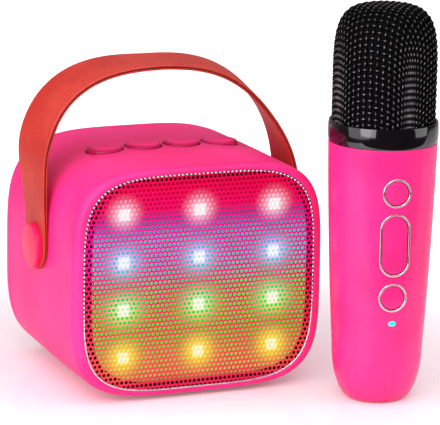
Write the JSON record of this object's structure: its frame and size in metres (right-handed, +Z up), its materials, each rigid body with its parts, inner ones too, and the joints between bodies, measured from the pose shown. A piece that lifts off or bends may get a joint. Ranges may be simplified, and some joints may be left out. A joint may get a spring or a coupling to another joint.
{
  "type": "karaoke speaker with microphone",
  "caption": "Small cube-shaped karaoke speaker with a lit perforated front and a leather carrying strap, and a cordless microphone standing beside it.",
  "frame": {"origin": "centre of the underside of the speaker's foot pad, on the table", "axes": "+Z up, the speaker's grille faces -Y, +X to the right seen from the front"},
  "size_m": [0.1463, 0.1319, 0.1568],
  "materials": {
    "body_plastic": "soft matte pink",
    "bright_trim": "bright plated",
    "grille_metal": "painted pink, perforated",
    "diffuser_film": "translucent white",
    "board_white": "white solder mask",
    "light_lens": "lit",
    "dark_plastic": "dark grey moulded",
    "black_gloss": "glossy black",
    "foam_black": "closed-cell foam",
    "stamped_steel": "plated",
    "ferrite": "sintered, dull",
    "driver_cloth": "impregnated cloth",
    "driver_paper": "coated paper",
    "copper_wire": "lacquered winding",
    "board_green": "green solder mask",
    "wire_jacket": "soft insulation",
    "cell_sleeve": "shrink sleeve over a can",
    "leather": "coral red, smooth grain",
    "leather_lining": "darker red lining",
    "mesh_black": "black woven wire",
    "foam_mic": "open-cell black foam"
  },
  "bodies": {
    "speaker": {"housing_shell": "body_plastic", "rear_cover": "body_plastic", "trim_ring": "bright_trim", "grille": "grille_metal", "light_diffuser": "diffuser_film", "led_board": "board_white", "leds": "light_lens", "baffle": "dark_plastic", "driver_gasket": "foam_black", "driver_frame": "stamped_steel", "driver_top_plate": "stamped_steel", "driver_magnet": "ferrite", "driver_yoke": "stamped_steel", "driver_surround": "foam_black", "driver_spider": "driver_cloth", "main_board": "board_green", "board_components": "dark_plastic", "battery_cell": "cell_sleeve", "battery_tray": "dark_plastic", "inner_leads": "wire_jacket", "button_board": "board_green", "button_switches": "dark_plastic", "charge_socket": "stamped_steel", "aux_socket": "dark_plastic", "card_slot": "stamped_steel", "status_light": "light_lens", "cover_screws": "stamped_steel", "baffle_screws": "stamped_steel", "driver_screws": "stamped_steel", "board_screws": "stamped_steel", "foot_pad": "foam_black", "strap_knob_left": "body_plastic", "strap_knob_right": "body_plastic", "strap_retainers": "stamped_steel"},
    "strap": {"strap_outer": "leather", "strap_lining": "leather_lining"},
    "driver_motion": {"driver_cone": "driver_paper", "driver_coil": "copper_wire", "dust_cap": "driver_paper"},
    "microphone": {"mic_body": "body_plastic", "mic_collar": "black_gloss", "mic_mesh": "mesh_black", "mic_foam": "foam_mic", "mic_capsule": "stamped_steel", "mic_cradle": "dark_plastic", "mic_chassis": "dark_plastic", "mic_board": "board_green", "mic_switches": "dark_plastic", "mic_battery": "cell_sleeve", "mic_round_bezels": "bright_trim", "mic_volume_bezel": "bright_trim", "mic_indicator": "light_lens", "mic_charge_socket": "stamped_steel"},
    "mic_power": {"mic_power_button": "body_plastic"},
    "mic_volume": {"mic_volume_rocker": "body_plastic"},
    "mic_mode": {"mic_mode_button": "body_plastic"},
    "top_button_1": {"top_button_1": "body_plastic"},
    "top_button_2": {"top_button_2": "body_plastic"},
    "top_button_3": {"top_button_3": "body_plastic"},
    "top_button_4": {"top_button_4": "body_plastic"}
  },
  "joints": [
    {"name": "strap_swing", "type": "hinge", "parent": "speaker", "child": "strap", "pos_m": [0, -0.004, 0.0562], "axis": [1, 0, 0], "range_deg": [-30, 30]},
    {"name": "top_button_1_press", "type": "slide", "parent": "speaker", "child": "top_button_1", "axis": [0, 0, -1], "range_m": [0, 0.0006], "stiffness_N_per_m": 300, "springref_m": -0.002},
    {"name": "top_button_2_press", "type": "slide", "parent": "speaker", "child": "top_button_2", "axis": [0, 0, -1], "range_m": [0, 0.0006], "stiffness_N_per_m": 300, "springref_m": -0.002},
    {"name": "top_button_3_press", "type": "slide", "parent": "speaker", "child": "top_button_3", "axis": [0, 0, -1], "range_m": [0, 0.0006], "stiffness_N_per_m": 300, "springref_m": -0.002},
    {"name": "top_button_4_press", "type": "slide", "parent": "speaker", "child": "top_button_4", "axis": [0, 0, -1], "range_m": [0, 0.0006], "stiffness_N_per_m": 300, "springref_m": -0.002},
    {"name": "cone_stroke", "type": "slide", "parent": "speaker", "child": "driver_motion", "axis": [0, -1, 0], "range_m": [-0.0008, 0.0008], "stiffness_N_per_m": 2000, "deforming": ["driver_surround", "driver_spider"]},
    {"name": "microphone_lift", "type": "slide", "parent": "speaker", "child": "microphone", "axis": [0, 0, 1], "range_m": [0, 0.12]},
    {"name": "mic_power_press", "type": "slide", "parent": "microphone", "child": "mic_power", "axis": [0.1564, 0.9877, 0], "range_m": [0, 0.0005], "stiffness_N_per_m": 300, "springref_m": -0.002},
    {"name": "mic_mode_press", "type": "slide", "parent": "microphone", "child": "mic_mode", "axis": [0.1564, 0.9877, 0], "range_m": [0, 0.0005], "stiffness_N_per_m": 300, "springref_m": -0.002},
    {"name": "mic_volume_rock", "type": "hinge", "parent": "microphone", "child": "mic_volume", "pos_m": [0.06376, -0.08376, 0.0657], "axis": [0.9877, -0.1564, 0], "range_deg": [-2.5, 2.5], "stiffness_Nm_per_rad": 0.275}
  ]
}
